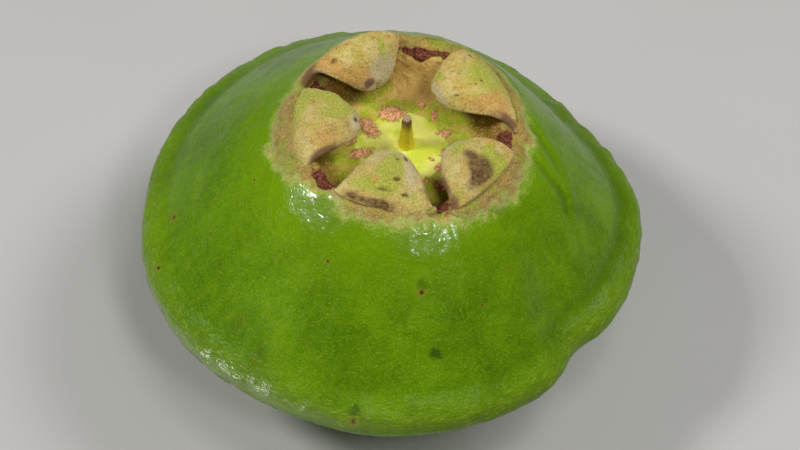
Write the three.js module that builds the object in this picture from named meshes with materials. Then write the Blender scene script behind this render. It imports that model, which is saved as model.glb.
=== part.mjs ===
// Cambuci: a green fruit shaped like a flying saucer, standing on its stem end with the calyx up.
// Units are millimetres and +Z is up. The origin is on the ground, under the middle of the fruit's
// plan outline. The body is one grown solid; the five sepals, the dry style in the cup and the stub
// of the stalk underneath are solids of their own.
import * as THREE from 'three';

// The vertical axis through the stalk, measured from the middle of the plan outline.
const STEM_AXIS = new THREE.Vector2(-0.2, 0.7);
// The cup sits a little to one side: the axis drifts this far along +X between the rim and the
// height where the drift is complete.
const CUP_SHIFT = 1.5;
const CUP_SHIFT_COMPLETE = 33;

// Rim: the widest line of the fruit.
const RIM_RADIUS = 28;
const RIM_HEIGHT = 16.6;
// Rim radius every 30 degrees, counterclockwise from +X, and one dent between two of them.
const RIM_RADII = [28.0, 25.3, 25.1, 26.3, 27.1, 27.7, 27.6, 28.1, 27.5, 27.9, 28.4, 27.8];
const DENT = { azimuth: -41, spread: 7, depth: 1.3 };
// The out-of-roundness fades to nothing between these two radii.
const ROUND_BELOW = 11.5;
const OUT_OF_ROUND_ABOVE = 26;

// Underside.
const DIMPLE_DEPTH = 3.0;
const DIMPLE_RADIUS = 4.2;
const REST_RADIUS = 6.8;

// Calyx collar, cup and disc.
const COLLAR_HEIGHT = 33.6;
const COLLAR_RADIUS = 11.2;
const DISC_HEIGHT = 29.9;
const DISC_RADIUS = 8.2;

// Style and stalk stubs.
const STYLE_HEIGHT = 4.4;
const STYLE_BASE_RADIUS = 0.8;
const STYLE_TIP_RADIUS = 0.42;
const STYLE_OFFSET = new THREE.Vector2(0.3, 0.4);
const STALK_RADIUS = 1.2;
const STALK_LOW = 0.7;
const STALK_HIGH = 2.6;

// Sepals. Each is a leathery flap that roots on the collar, rises and folds in over the cup.
const SEPAL_THICKNESS = 0.8;
const SEPAL_ROOT_HEIGHT = COLLAR_HEIGHT + 0.45;
const SEPAL_CREST_BASE = COLLAR_HEIGHT - 0.3;
// The spine's inner points: shares of the way in from root to tip, and of the way between heights.
const SPINE_KNEE = { inward: 0.06, rise: 0.6 };
const SPINE_CREST_INWARD = 0.32;
const SPINE_FOLD = { inward: 0.7, drop: 0.2 };
// The root follows the collar's curve, which fades towards the tip with this power.
const ROOT_CURVE_FADE = 1.2;
// The side edges still drop at the tip, by this share of the cupping.
const TIP_CUPPING = 0.5;
// The outline stops just short of its pointed end, which leaves a blunt tip.
const SEPAL_BLUNT_END = 0.985;
const SEPAL_OUTLINE_POWER = 0.62;
// azimuth in degrees; root and tip are radii from the cup's axis; left and right are half widths
// on the counterclockwise and clockwise sides; lean shifts the tip counterclockwise; rise and
// tipRise are heights above the collar; cupping drops the side edges; lift raises the left edge;
// taper is higher for a squarer outline.
const SEPALS = [
  { azimuth: 30, root: 11.9, tip: 4.9, left: 5.8, right: 6.6, lean: 1.7,
    rise: 2.4, tipRise: 1.0, cupping: 1.0, lift: 0.0, taper: 1.5 },
  { azimuth: 120, root: 12.3, tip: 6.3, left: 6.6, right: 6.0, lean: -0.3,
    rise: 3.6, tipRise: 0.8, cupping: 1.8, lift: 1.2, taper: 1.6 },
  { azimuth: 184, root: 11.8, tip: 4.7, left: 4.9, right: 5.8, lean: -0.9,
    rise: 1.8, tipRise: 0.5, cupping: 0.8, lift: 0.0, taper: 1.9 },
  { azimuth: 256, root: 11.4, tip: 3.9, left: 6.0, right: 5.4, lean: 0.0,
    rise: 1.9, tipRise: 0.7, cupping: 0.8, lift: 0.0, taper: 1.4 },
  { azimuth: 320, root: 12.2, tip: 5.7, left: 5.0, right: 5.4, lean: 0.9,
    rise: 1.5, tipRise: 0.5, cupping: 0.6, lift: 0.0, taper: 2.0 },
];

// Mesh density.
const BODY_COLUMNS = 60;
const LOBE_COLUMNS = 12;
const LOBE_ROWS = 10;
const LATHE_SEGMENTS = 16;

const COLOURS = { skin: 0x6f9a12, sepal: 0xb59d62, style: 0x8a7a24, stalk: 0x6b5636 };

const radians = THREE.MathUtils.degToRad;
const between = THREE.MathUtils.lerp;

function point(x, y) {
  return new THREE.Vector2(x, y);
}

// A smooth run of profile points through the given (radius, height) pairs.
function smoothRun(pairs, steps) {
  return new THREE.SplineCurve(pairs.map(([r, z]) => point(r, z))).getPoints(steps);
}

// The half section of the body, from the middle of the dimple to the middle of the disc. Only the
// ring between the dimple and the bowl is straight, and it is the flat spot the fruit stands on.
function bodyProfile() {
  const dimple = smoothRun([
    [0, DIMPLE_DEPTH],
    [1.5, 2.8],
    [2.7, 1.3],
    [3.4, 0.3],
    [DIMPLE_RADIUS, 0],
  ], 7);
  const bowl = smoothRun([
    [REST_RADIUS, 0],
    [8.8, 0.5],
    [11.5, 1.7],
    [16, 4.5],
    [20.5, 8.4],
    [24, 11.8],
    [26.2, 14.0],
    [27.5, 15.3],
    [RIM_RADIUS, RIM_HEIGHT],
  ], 15);
  const cone = smoothRun([
    [RIM_RADIUS, RIM_HEIGHT],
    [27.75, 17.8],
    [26.9, 18.8],
    [25.3, 20.1],
    [23.3, 22.3],
    [21.0, 25.1],
    [18.0, 28.4],
    [15.2, 31.1],
    [13.5, 32.5],
    [12.2, 33.3],
    [COLLAR_RADIUS, COLLAR_HEIGHT],
  ], 20);
  const cup = smoothRun([
    [COLLAR_RADIUS, COLLAR_HEIGHT],
    [10.4, 33.3],
    [9.8, 32.3],
    [9.2, 30.9],
    [DISC_RADIUS, 30.2],
    [6.0, DISC_HEIGHT],
    [3.0, DISC_HEIGHT],
    [0, DISC_HEIGHT],
  ], 12);
  return [...dimple, ...bowl, ...cone.slice(1), ...cup.slice(1)];
}

// Cubic interpolation through equally spaced values that repeat every full turn.
function periodicCubic(values, turns) {
  const n = values.length;
  const at = ((turns % 1) + 1) % 1 * n;
  const i = Math.floor(at);
  const t = at - i;
  const [a, b, c, d] = [-1, 0, 1, 2].map((k) => values[(i + k + n) % n]);
  return 0.5 * (2 * b + (c - a) * t + (2 * a - 5 * b + 4 * c - d) * t ** 2
    + (3 * b - a - 3 * c + d) * t ** 3);
}

function rimRadius(degrees) {
  const away = ((degrees - DENT.azimuth + 540) % 360) - 180;
  const dent = DENT.depth * Math.exp(-((away / DENT.spread) ** 2));
  return periodicCubic(RIM_RADII, degrees / 360) - dent;
}

// A point of the body at one azimuth, from a point of its half section.
function bodyPoint(section, degrees) {
  const share = THREE.MathUtils.smoothstep(section.x, ROUND_BELOW, OUT_OF_ROUND_ABOVE);
  const radius = section.x + share * (rimRadius(degrees) - RIM_RADIUS);
  const shift = CUP_SHIFT * THREE.MathUtils.smoothstep(section.y, RIM_HEIGHT, CUP_SHIFT_COMPLETE);
  return new THREE.Vector3(
    STEM_AXIS.x + shift + radius * Math.cos(radians(degrees)),
    STEM_AXIS.y + radius * Math.sin(radians(degrees)),
    section.y,
  );
}

function geometryFrom(points, triangles) {
  const geometry = new THREE.BufferGeometry().setFromPoints(points);
  geometry.setIndex(triangles);
  geometry.computeVertexNormals();
  return geometry;
}

// The body: one ring of points for each profile point, closed by a single point at both ends.
function bodyGeometry() {
  const profile = bodyProfile();
  const rings = profile.slice(1, -1);
  const points = [bodyPoint(profile[0], 0)];
  for (const section of rings) {
    for (let column = 0; column < BODY_COLUMNS; column += 1) {
      points.push(bodyPoint(section, (360 * column) / BODY_COLUMNS));
    }
  }
  points.push(bodyPoint(profile[profile.length - 1], 0));
  const last = points.length - 1;
  const triangles = [];
  const index = (ring, column) => 1 + ring * BODY_COLUMNS + (column % BODY_COLUMNS);
  for (let column = 0; column < BODY_COLUMNS; column += 1) {
    triangles.push(0, index(0, column + 1), index(0, column));
    for (let ring = 0; ring < rings.length - 1; ring += 1) {
      const [a, b] = [index(ring, column), index(ring, column + 1)];
      const [c, d] = [index(ring + 1, column), index(ring + 1, column + 1)];
      triangles.push(a, b, d, a, d, c);
    }
    triangles.push(last, index(rings.length - 1, column), index(rings.length - 1, column + 1));
  }
  return geometryFrom(points, triangles);
}

// The line down the middle of a sepal, as (radius, height) pairs from root to tip.
function sepalSpine(sepal) {
  const reach = sepal.root - sepal.tip;
  const crest = SEPAL_CREST_BASE + sepal.rise;
  const tipHeight = SEPAL_CREST_BASE + sepal.tipRise;
  return new THREE.SplineCurve([
    point(sepal.root, SEPAL_ROOT_HEIGHT),
    point(sepal.root - SPINE_KNEE.inward * reach, between(SEPAL_ROOT_HEIGHT, crest, SPINE_KNEE.rise)),
    point(sepal.root - SPINE_CREST_INWARD * reach, crest),
    point(sepal.root - SPINE_FOLD.inward * reach, between(crest, tipHeight, SPINE_FOLD.drop)),
    point(sepal.tip, tipHeight),
  ]);
}

// The middle surface of a sepal: across runs from -1 (clockwise edge) to 1, along from 0 to 1.
function sepalPoint(sepal, spine, across, along) {
  const side = across > 0 ? sepal.left : sepal.right;
  const width = side * (1 - along ** sepal.taper) ** SEPAL_OUTLINE_POWER;
  const middle = spine.getPoint(along);
  const sagitta = sepal.root - Math.sqrt(sepal.root ** 2 - (side * across) ** 2);
  const radial = middle.x - sagitta * (1 - along) ** ROOT_CURVE_FADE;
  const tangential = width * across + sepal.lean * along;
  const hump = 4 * along * (1 - along);
  const lift = across > 0 ? sepal.lift * hump : 0;
  const drop = sepal.cupping * (hump + TIP_CUPPING * along);
  const turn = radians(sepal.azimuth);
  return new THREE.Vector3(
    STEM_AXIS.x + CUP_SHIFT + radial * Math.cos(turn) - tangential * Math.sin(turn),
    STEM_AXIS.y + radial * Math.sin(turn) + tangential * Math.cos(turn),
    middle.y + across ** 2 * (lift - drop),
  );
}

// Unit normal of the middle surface, on the side that faces the sky.
function sepalNormal(sepal, spine, across, along) {
  const step = 0.01;
  const [left, right] = [-step, step].map((s) => sepalPoint(sepal, spine, across + s, along));
  const [back, front] = [-step, step].map((s) => (
    sepalPoint(sepal, spine, across, THREE.MathUtils.clamp(along + s, 0, 1))));
  const normal = right.sub(left).cross(front.sub(back)).normalize();
  return normal.z < 0 ? normal.negate() : normal;
}

// A sepal as a slab: the middle surface moved half a thickness up and down, closed round its edge.
function sepalGeometry(sepal) {
  const spine = sepalSpine(sepal);
  const points = [];
  for (const side of [0.5, -0.5]) {
    for (let row = 0; row <= LOBE_ROWS; row += 1) {
      const along = (SEPAL_BLUNT_END * row) / LOBE_ROWS;
      for (let column = 0; column <= LOBE_COLUMNS; column += 1) {
        const across = (2 * column) / LOBE_COLUMNS - 1;
        const normal = sepalNormal(sepal, spine, across, along);
        const middle = sepalPoint(sepal, spine, across, along);
        points.push(middle.addScaledVector(normal, side * SEPAL_THICKNESS));
      }
    }
  }
  const layer = (LOBE_ROWS + 1) * (LOBE_COLUMNS + 1);
  const index = (level, row, column) => level * layer + row * (LOBE_COLUMNS + 1) + column;
  const triangles = [];
  const quad = (a, b, c, d) => triangles.push(a, b, c, a, c, d);
  for (let row = 0; row < LOBE_ROWS; row += 1) {
    for (let column = 0; column < LOBE_COLUMNS; column += 1) {
      quad(index(0, row, column), index(0, row, column + 1),
        index(0, row + 1, column + 1), index(0, row + 1, column));
      quad(index(1, row, column), index(1, row + 1, column),
        index(1, row + 1, column + 1), index(1, row, column + 1));
    }
    quad(index(0, row, 0), index(0, row + 1, 0), index(1, row + 1, 0), index(1, row, 0));
    quad(index(0, row + 1, LOBE_COLUMNS), index(0, row, LOBE_COLUMNS),
      index(1, row, LOBE_COLUMNS), index(1, row + 1, LOBE_COLUMNS));
  }
  for (let column = 0; column < LOBE_COLUMNS; column += 1) {
    quad(index(0, 0, column + 1), index(0, 0, column), index(1, 0, column), index(1, 0, column + 1));
    quad(index(0, LOBE_ROWS, column), index(0, LOBE_ROWS, column + 1),
      index(1, LOBE_ROWS, column + 1), index(1, LOBE_ROWS, column));
  }
  return geometryFrom(points, triangles);
}

// A round stub about a vertical axis, from (radius, height) pairs that start and end on the axis.
function turnedGeometry(pairs) {
  const profile = pairs.map(([r, z]) => point(r, z));
  return new THREE.LatheGeometry(profile, LATHE_SEGMENTS).rotateX(Math.PI / 2);
}

function styleGeometry() {
  return turnedGeometry([
    [0, 0],
    [STYLE_BASE_RADIUS, 0],
    [0.95 * STYLE_BASE_RADIUS, 0.2 * STYLE_HEIGHT],
    [0.5 * (STYLE_BASE_RADIUS + STYLE_TIP_RADIUS), 0.6 * STYLE_HEIGHT],
    [STYLE_TIP_RADIUS, 0.95 * STYLE_HEIGHT],
    [0.7 * STYLE_TIP_RADIUS, STYLE_HEIGHT],
    [0, STYLE_HEIGHT],
  ]);
}

function stalkGeometry() {
  const length = STALK_HIGH - STALK_LOW;
  return turnedGeometry([
    [0, 0],
    [0.85 * STALK_RADIUS, 0],
    [STALK_RADIUS, 0.2 * length],
    [0.9 * STALK_RADIUS, 0.8 * length],
    [0.7 * STALK_RADIUS, length],
    [0, length],
  ]);
}

function makeMesh(name, geometry, color, roughness) {
  const material = new THREE.MeshStandardMaterial({ color, roughness, metalness: 0 });
  const mesh = new THREE.Mesh(geometry, material);
  mesh.name = name;
  return mesh;
}

const cambuci = new THREE.Group();
cambuci.add(makeMesh('fruit', bodyGeometry(), COLOURS.skin, 0.4));

SEPALS.forEach((sepal, i) => {
  cambuci.add(makeMesh(`calyx_lobe_${i + 1}`, sepalGeometry(sepal), COLOURS.sepal, 0.9));
});

// Both stubs keep a hair's gap to the body, which they grow from.
const STUB_GAP = 0.3;
const style = makeMesh('style', styleGeometry(), COLOURS.style, 0.6);
style.position.set(
  STEM_AXIS.x + CUP_SHIFT + STYLE_OFFSET.x,
  STEM_AXIS.y + STYLE_OFFSET.y,
  DISC_HEIGHT + STUB_GAP,
);
cambuci.add(style);

const stalk = makeMesh('stem_stub', stalkGeometry(), COLOURS.stalk, 0.85);
stalk.position.set(STEM_AXIS.x, STEM_AXIS.y, STALK_LOW);
cambuci.add(stalk);

export default cambuci;
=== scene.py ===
"""A cambuci on a pale floor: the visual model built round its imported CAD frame.

Sizes are in millimetres until a mesh is made. The fruit's section and the sepals follow the CAD
solids; on top of them come the wrinkled rim, the felt of the calyx, the granular cup and the
natural unevenness that the plain solids lack.
"""

import math

import bmesh
import bpy
import numpy as np
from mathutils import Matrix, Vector


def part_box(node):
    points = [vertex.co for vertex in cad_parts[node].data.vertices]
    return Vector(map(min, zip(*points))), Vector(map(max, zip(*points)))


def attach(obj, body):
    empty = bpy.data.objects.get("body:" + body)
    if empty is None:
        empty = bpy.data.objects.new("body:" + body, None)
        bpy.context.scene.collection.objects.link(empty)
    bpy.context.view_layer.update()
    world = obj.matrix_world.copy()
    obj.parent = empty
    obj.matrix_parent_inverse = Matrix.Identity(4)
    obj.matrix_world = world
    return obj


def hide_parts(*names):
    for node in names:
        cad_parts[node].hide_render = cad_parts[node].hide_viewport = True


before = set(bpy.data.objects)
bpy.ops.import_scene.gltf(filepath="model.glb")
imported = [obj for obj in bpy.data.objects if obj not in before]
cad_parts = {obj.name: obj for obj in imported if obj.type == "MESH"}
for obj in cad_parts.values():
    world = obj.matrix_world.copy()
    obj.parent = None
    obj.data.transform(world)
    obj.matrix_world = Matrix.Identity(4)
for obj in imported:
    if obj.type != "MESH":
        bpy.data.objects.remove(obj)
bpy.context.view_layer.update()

MM = 0.001


# ---- places taken from the frame

def middle_mm(node):
    """The middle of a CAD node's box, in millimetres."""
    low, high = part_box(node)
    return np.array((low + high) / 2) / MM


STEM_AXIS = middle_mm("stem_stub")[:2]
STYLE_AXIS = middle_mm("style")[:2]
# The style stands this far to the right of the cup's axis and behind it.
STYLE_OFFSET = np.array([0.3, 0.4])
CUP_AXIS = STYLE_AXIS - STYLE_OFFSET
CUP_SHIFT = CUP_AXIS[0] - STEM_AXIS[0]
COLLAR_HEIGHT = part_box("fruit")[1].z / MM
STYLE_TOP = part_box("style")[1].z / MM
STALK_LOW, STALK_HIGH = [corner.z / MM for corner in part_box("stem_stub")]


# ---- shape of the fruit

RIM_RADIUS = 28.0
RIM_HEIGHT = 16.6
RIM_RADII = [28.0, 25.3, 25.1, 26.3, 27.1, 27.7, 27.6, 28.1, 27.5, 27.9, 28.4, 27.8]
DENT_AZIMUTH, DENT_SPREAD, DENT_DEPTH = -41.0, 7.0, 1.3
ROUND_BELOW, OUT_OF_ROUND_ABOVE = 11.5, 26.0
COLLAR_RADIUS = 11.2
DISC_HEIGHT = 29.9
STYLE_MOUND, MOUND_SPREAD, MOUND_REACH = 0.35, 1.5, 6
CUP_SHIFT_HEIGHT = 33.0

# The half section, as (radius, height) runs and the number of mesh rows that each one gets.
DIMPLE = [(0, 3.0), (1.5, 2.8), (2.7, 1.3), (3.4, 0.3), (4.2, 0)]
BOWL = [(6.8, 0), (8.8, 0.5), (11.5, 1.7), (16, 4.5), (20.5, 8.4), (24, 11.8), (26.2, 14.0),
        (27.5, 15.3), (RIM_RADIUS, RIM_HEIGHT)]
LIP = [(RIM_RADIUS, RIM_HEIGHT), (27.75, 17.8), (26.9, 18.8), (25.3, 20.1)]
CONE = [(25.3, 20.1), (23.3, 22.3), (21.0, 25.1), (18.0, 28.4), (15.2, 31.1)]
COLLAR = [(15.2, 31.1), (13.5, 32.5), (12.2, 33.3), (COLLAR_RADIUS, COLLAR_HEIGHT)]
CUP = [(COLLAR_RADIUS, COLLAR_HEIGHT), (10.4, 33.3), (9.8, 32.3), (9.2, 30.9), (8.2, 30.2),
       (6.0, DISC_HEIGHT), (3.0, DISC_HEIGHT), (0, DISC_HEIGHT)]
RUNS = [(DIMPLE, 8), (BOWL, 26), (LIP, 16), (CONE, 40), (COLLAR, 28), (CUP, 84)]
COLUMNS = 480

# Notches between the sepals, as azimuth and half width in degrees about the cup's axis.
NOTCHES = [(77, 17), (-8, 8), (-70, 7), (219, 9), (152, 7)]

# Corky scars round the disc: azimuth, radius, half length, half width and turn from the radius.
CORKS = [
    (104, 4.8, 1.35, 0.95, 70), (143, 4.5, 1.40, 0.75, -15), (189, 4.5, 1.25, 0.65, 8),
    (24, 5.0, 0.75, 0.42, -20), (52, 5.6, 0.60, 0.35, 40), (70, 6.2, 0.35, 0.35, 0),
    (-33, 4.7, 0.35, 0.60, 0), (-7, 4.9, 0.80, 0.50, 30), (-66, 5.2, 0.30, 1.10, 20),
    (-26, 3.6, 0.24, 0.20, 0), (166, 5.8, 0.90, 0.50, 80), (-52, 6.6, 0.70, 0.60, 0),
]

# Creases of the skin from the collar towards the rim, as (azimuth, section radius) points.
FOLDS = [
    [(17, 12.2), (9, 13.6), (2, 15.0), (-8, 17.2), (-18, 19.4)],
    [(-4, 12.8), (-9, 14.2), (-12, 16.0), (-15, 18.0)],
    [(58, 14.0), (50, 17.5), (44, 21.5), (40, 25.0)],
]
FOLD_WIDTH, FOLD_STEEPNESS, FOLD_STEPS = 0.8, 1.6, 24

# How far the felt reaches down from the collar's crest in mm, and how much more or less it
# reaches in some sectors, as (azimuth, half width, mm).
FELT_REACH = 2.5
FELT_SECTORS = [(190, 26, 1.3), (-30, 34, 1.0), (100, 50, 0.6), (-136, 17, -1.3),
                (-82, 17, -1.1)]

# The groove above the rim: its share all round, and more as (azimuth, half width, share).
GROOVE_SHARE = 0.1
GROOVE_SECTORS = [(-5, 42, 0.75), (145, 22, 0.8)]

# Tan walls of the cup: azimuth, half width, share, and the radii where they begin and are full.
TAN_WALLS = [(80, 22, 1.0, 5.8, 7.2), (150, 18, 0.9, 5.0, 6.5), (-12, 13, 0.9, 6.2, 7.6)]

# Waxy gloss beside the collar, as azimuth, half width, share, radius and half depth, and on the
# lip of the rim, with more of it as (azimuth, half width, share).
GLOSS_PATCHES = [(-134, 17, 1.0, 13.3, 1.7), (-80, 15, 0.9, 13.9, 1.4)]
LIP_GLOSS = 0.05
LIP_GLOSS_SECTORS = [(-132, 40, 0.55)]

# Cell in mm and seed of each size of unevenness, and the relief in mm that it gives a surface.
BODY_NOISE = {"broad": (12, 1), "medium": (4.0, 2), "small": (1.5, 3), "tiny": (0.55, 4)}
RELIEF = {
    "skin": dict(broad=0.22, medium=0.08, small=0.03),
    "lip": dict(medium=0.10, small=0.12),
    "felt": dict(small=0.10, tiny=0.07),
    "cup": dict(small=0.14, tiny=0.12),
    "bare": dict(tiny=0.22, small=0.15),
    "cork": dict(tiny=0.14),
    "felt edge": dict(small=0.7, tiny=0.5, medium=0.4),
}
# Wrinkles run along the rim and streaks run up the cone: sizes round and up the skin, and relief.
WRINKLE_SIZE, WRINKLE_RELIEF = [1.6, 1.6, 0.55], 0.11
STREAK_SIZE, STREAK_RELIEF = [1.8, 1.8, 7.0], 0.08
GROOVE_DEPTH, FOLD_RELIEF, CORK_RISE = 0.45, 0.15, 0.12
NOTCH_DEPTH, ROOT_SWELL = 0.6, 0.5
# Arc length past the collar's crest that the masks give to the lower and the upper pole.
POLE_INWARD = (-60, 12)


def smooth(x, low, high):
    """0 below low, 1 above high, with an even S between them."""
    t = np.clip((np.asarray(x, float) - low) / (high - low), 0, 1)
    return t * t * (3 - 2 * t)


def cubic(a, b, c, d, t):
    """Catmull-Rom between b and c."""
    return 0.5 * (2 * b + (c - a) * t + (2 * a - 5 * b + 4 * c - d) * t ** 2
                  + (3 * b - a - 3 * c + d) * t ** 3)


def smooth_run(pairs, steps):
    """Points of a smooth curve through the pairs, both ends kept."""
    p = np.array(pairs, float)
    p = np.vstack([p[:1], p, p[-1:]])
    t = np.linspace(0, len(pairs) - 1, steps + 1)
    i = np.minimum(t.astype(int), len(pairs) - 2)
    return cubic(p[i], p[i + 1], p[i + 2], p[i + 3], (t - i)[:, None])


def arc_lengths(points):
    """Lengths along a line of points, from its first point."""
    return np.concatenate([[0], np.cumsum(np.linalg.norm(np.diff(points, axis=0), axis=1))])


def flat(radius, azimuth):
    """x and y of a point seen from above, from its radius and its azimuth in degrees."""
    turn = np.radians(azimuth)
    return radius * np.cos(turn), radius * np.sin(turn)


def turn_from(azimuth, centre):
    """Degrees from centre to azimuth, between -180 and 180."""
    return (np.asarray(azimuth) - centre + 180) % 360 - 180


def bell(x, centre, half):
    """1 at the centre, falling softly to both sides."""
    return np.exp(-((x - centre) / half) ** 2)


def sector(azimuth, centre, half):
    """A soft 0 to 1 share of the turn round one azimuth."""
    return bell(turn_from(azimuth, centre), 0, half)


def sectors(azimuth, parts, start=0.0):
    """The start value plus weighted sectors, given as (centre, half, weight)."""
    return sum((weight * sector(azimuth, at, half) for at, half, weight in parts), start)


def oval(u, v):
    """1 in the middle of an oval whose half sizes are 1, fading out round it."""
    return np.exp(-0.7 * (u ** 2 + v ** 2))


def rim_radius(azimuth):
    """The rim's radius at an azimuth in degrees."""
    radii = np.array(RIM_RADII)
    at = np.asarray(azimuth) % 360 / 360 * len(radii)
    i = np.floor(at).astype(int)
    a, b, c, d = [radii[(i + k) % len(radii)] for k in (-1, 0, 1, 2)]
    dent = DENT_DEPTH * sector(azimuth, DENT_AZIMUTH, DENT_SPREAD)
    return cubic(a, b, c, d, at - i) - dent


def body_points(radius, height, azimuth):
    """Points of the undetailed body, from section radii and heights and azimuths in degrees."""
    share = smooth(radius, ROUND_BELOW, OUT_OF_ROUND_ABOVE)
    x, y = flat(radius + share * (rim_radius(azimuth) - RIM_RADIUS), azimuth)
    x = x + STEM_AXIS[0] + CUP_SHIFT * smooth(height, RIM_HEIGHT, CUP_SHIFT_HEIGHT)
    return np.stack([x, STEM_AXIS[1] + y, height + 0 * x], -1)


# ---- repeatable noise

def lattice(ix, iy, iz, seed):
    """A repeatable value from -1 to 1 for every lattice point."""
    mask = 0xFFFFFFFF
    n = (ix * 73856093) ^ (iy * 19349663) ^ (iz * 83492791) ^ (seed * 26544357)
    n = n & mask
    n = ((n ^ (n >> 13)) * 1274126177) & mask
    n = ((n ^ (n >> 15)) * 668265263) & mask
    return (n ^ (n >> 16)) / (mask / 2) - 1


def noise(points, cell, seed, octaves=1):
    """Smooth noise from about -1 to 1 whose lumps are one cell (mm) across."""
    total, weight, amount = 0.0, 1.0, 0.0
    for octave in range(octaves):
        p = points / cell * 2 ** octave + 17.3 * octave
        i = np.floor(p).astype(np.int64)
        f = p - i
        f = f ** 3 * (f * (f * 6 - 15) + 10)
        value = 0.0
        for corner in range(8):
            step = np.array([corner & 1, corner >> 1 & 1, corner >> 2])
            share = np.prod(np.where(step, f, 1 - f), axis=-1)
            x, y, z = np.moveaxis(i + step, -1, 0)
            value = value + share * lattice(x, y, z, seed + octave)
        total = total + weight * value
        amount += weight
        weight *= 0.5
    return total / amount


# ---- meshes

def new_object(name, data):
    """An object in the scene with this data."""
    made = bpy.data.objects.new(name, data)
    bpy.context.scene.collection.objects.link(made)
    return made


def make_object(name, points_mm, faces, masks, material, node):
    """A smooth mesh piece on the root body that stands for a CAD node."""
    mesh = bpy.data.meshes.new(name)
    mesh.from_pydata((np.asarray(points_mm) * MM).tolist(), [], faces)
    for mask_name, values in masks.items():
        values = np.asarray(values, np.float32)
        kind, key = ("FLOAT_VECTOR", "vector") if values.ndim == 2 else ("FLOAT", "value")
        layer = mesh.attributes.new(mask_name, kind, "POINT")
        layer.data.foreach_set(key, values.ravel())
    mesh.validate()
    mesh.shade_smooth()
    mesh.materials.append(material)
    piece = new_object(name, mesh)
    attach(piece, "root")
    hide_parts(node)
    return piece


def unit(vectors):
    """The vectors at length 1."""
    return vectors / np.maximum(np.linalg.norm(vectors, axis=-1, keepdims=True), 1e-9)


def grid_normals(grid):
    """Unit normals of a grid of points that wraps round in its second direction."""
    around = np.roll(grid, -1, axis=1) - np.roll(grid, 1, axis=1)
    return unit(np.cross(around, np.gradient(grid, axis=0)))


def quads(grid):
    """Faces between neighbouring points of a grid of point numbers."""
    corners = [grid[:-1, :-1], grid[:-1, 1:], grid[1:, 1:], grid[1:, :-1]]
    return np.stack(corners, -1).reshape(-1, 4).tolist()


def ring_faces(rows, columns):
    """Faces of a closed body: a pole, rows of points, and a pole."""
    grid = np.arange(1, rows * columns + 1).reshape(rows, columns)
    grid = np.hstack([grid, grid[:, :1]])
    low, high = grid[0].tolist(), grid[-1].tolist()
    faces = quads(grid)
    for column in range(columns):
        faces.append((0, low[column + 1], low[column]))
        faces.append((rows * columns + 1, high[column], high[column + 1]))
    return faces


def section():
    """The half section's radii and heights, without the two poles, and the arc length from the
    collar's crest: negative outside, positive in the cup."""
    points = np.vstack([smooth_run(run, rows)[:-1] for run, rows in RUNS] + [[CUP[-1]]])
    length = arc_lengths(points)
    crest = int(np.argmin(np.linalg.norm(points - np.array(COLLAR[-1]), axis=1)))
    return points[:, 0], points[:, 1], length - length[crest]


def upper_section():
    """The same three values for the outer side above the rim, by rising radius."""
    radius, height, inward = section()
    upper = (height > RIM_HEIGHT) & (inward < 0)
    return radius[upper][::-1], height[upper][::-1], inward[upper][::-1]


def skin_flow(azimuth, inward):
    """Coordinates in mm round and up the skin, so that noise has no seam."""
    x, y = flat(RIM_RADIUS, azimuth)
    return np.stack([x + 0 * inward, y + 0 * inward, inward + 0 * azimuth], -1)


def unevenness(points):
    """The body's noise at points, for each size."""
    return {size: noise(points, cell, seed, 2) for size, (cell, seed) in BODY_NOISE.items()}


def relief(surface, uneven):
    """Height in mm that the unevenness gives to one kind of surface."""
    return sum(depth * uneven[size] for size, depth in RELIEF[surface].items())


def notch_share(azimuth):
    """1 in the middle of a notch between two sepals, 0 under a sepal."""
    return sum(sector(azimuth, at, half) for at, half in NOTCHES)


def cork_share(radius, azimuth):
    """1 inside the corky scars of the disc, fading out round each."""
    x, y = flat(radius, azimuth)
    share = 0.0
    for at, away, half_length, half_width, tilt in CORKS:
        centre_x, centre_y = flat(away, at)
        along_x, along_y = flat(1, at + tilt)
        dx, dy = x - centre_x, y - centre_y
        u = (dx * along_x + dy * along_y) / half_length
        v = (dy * along_x - dx * along_y) / half_width
        share = np.maximum(share, oval(u, v))
    return share


def fold_push(radius, azimuth):
    """Height of the creases: a low ridge with a groove beside it, along each fold's line."""
    x, y = flat(radius, azimuth)
    push = 0.0
    for fold in FOLDS:
        line = smooth_run([flat(r, a) for a, r in fold], FOLD_STEPS)
        away = np.full(x.shape, 1e9)
        side = np.zeros(x.shape)
        for (ax, ay), (bx, by) in zip(line[:-1], line[1:]):
            length = math.hypot(bx - ax, by - ay)
            t = np.clip(((x - ax) * (bx - ax) + (y - ay) * (by - ay)) / length ** 2, 0, 1)
            gap = np.hypot(x - ax - t * (bx - ax), y - ay - t * (by - ay))
            cross = ((bx - ax) * (y - ay) - (by - ay) * (x - ax)) / length
            side = np.where(gap < away, cross, side)
            away = np.minimum(away, gap)
        push = push + FOLD_STEEPNESS * side / FOLD_WIDTH * bell(away, 0, FOLD_WIDTH)
    return push


def felt_share(inward, azimuth, points):
    """0 on bare skin to 1 in thick felt, from the arc length past the collar's crest."""
    edge = inward + sectors(azimuth, FELT_SECTORS, FELT_REACH)
    return smooth(edge + relief("felt edge", unevenness(points)), -1.5, 1.7)


def root_swell(radius, azimuth):
    """Rise of the collar round the root of each sepal, so that the two run together."""
    swell = 0.0
    for sepal in SEPALS:
        half = math.degrees(math.asin((sepal["left"] + sepal["right"]) / 2 / sepal["root"]))
        share = 1 - smooth(np.abs(turn_from(azimuth, sepal["azimuth"])), half - 4, half + 5)
        swell = swell + ROOT_SWELL * share * bell(radius, sepal["root"] + 0.4, 1.1)
    return swell


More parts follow.
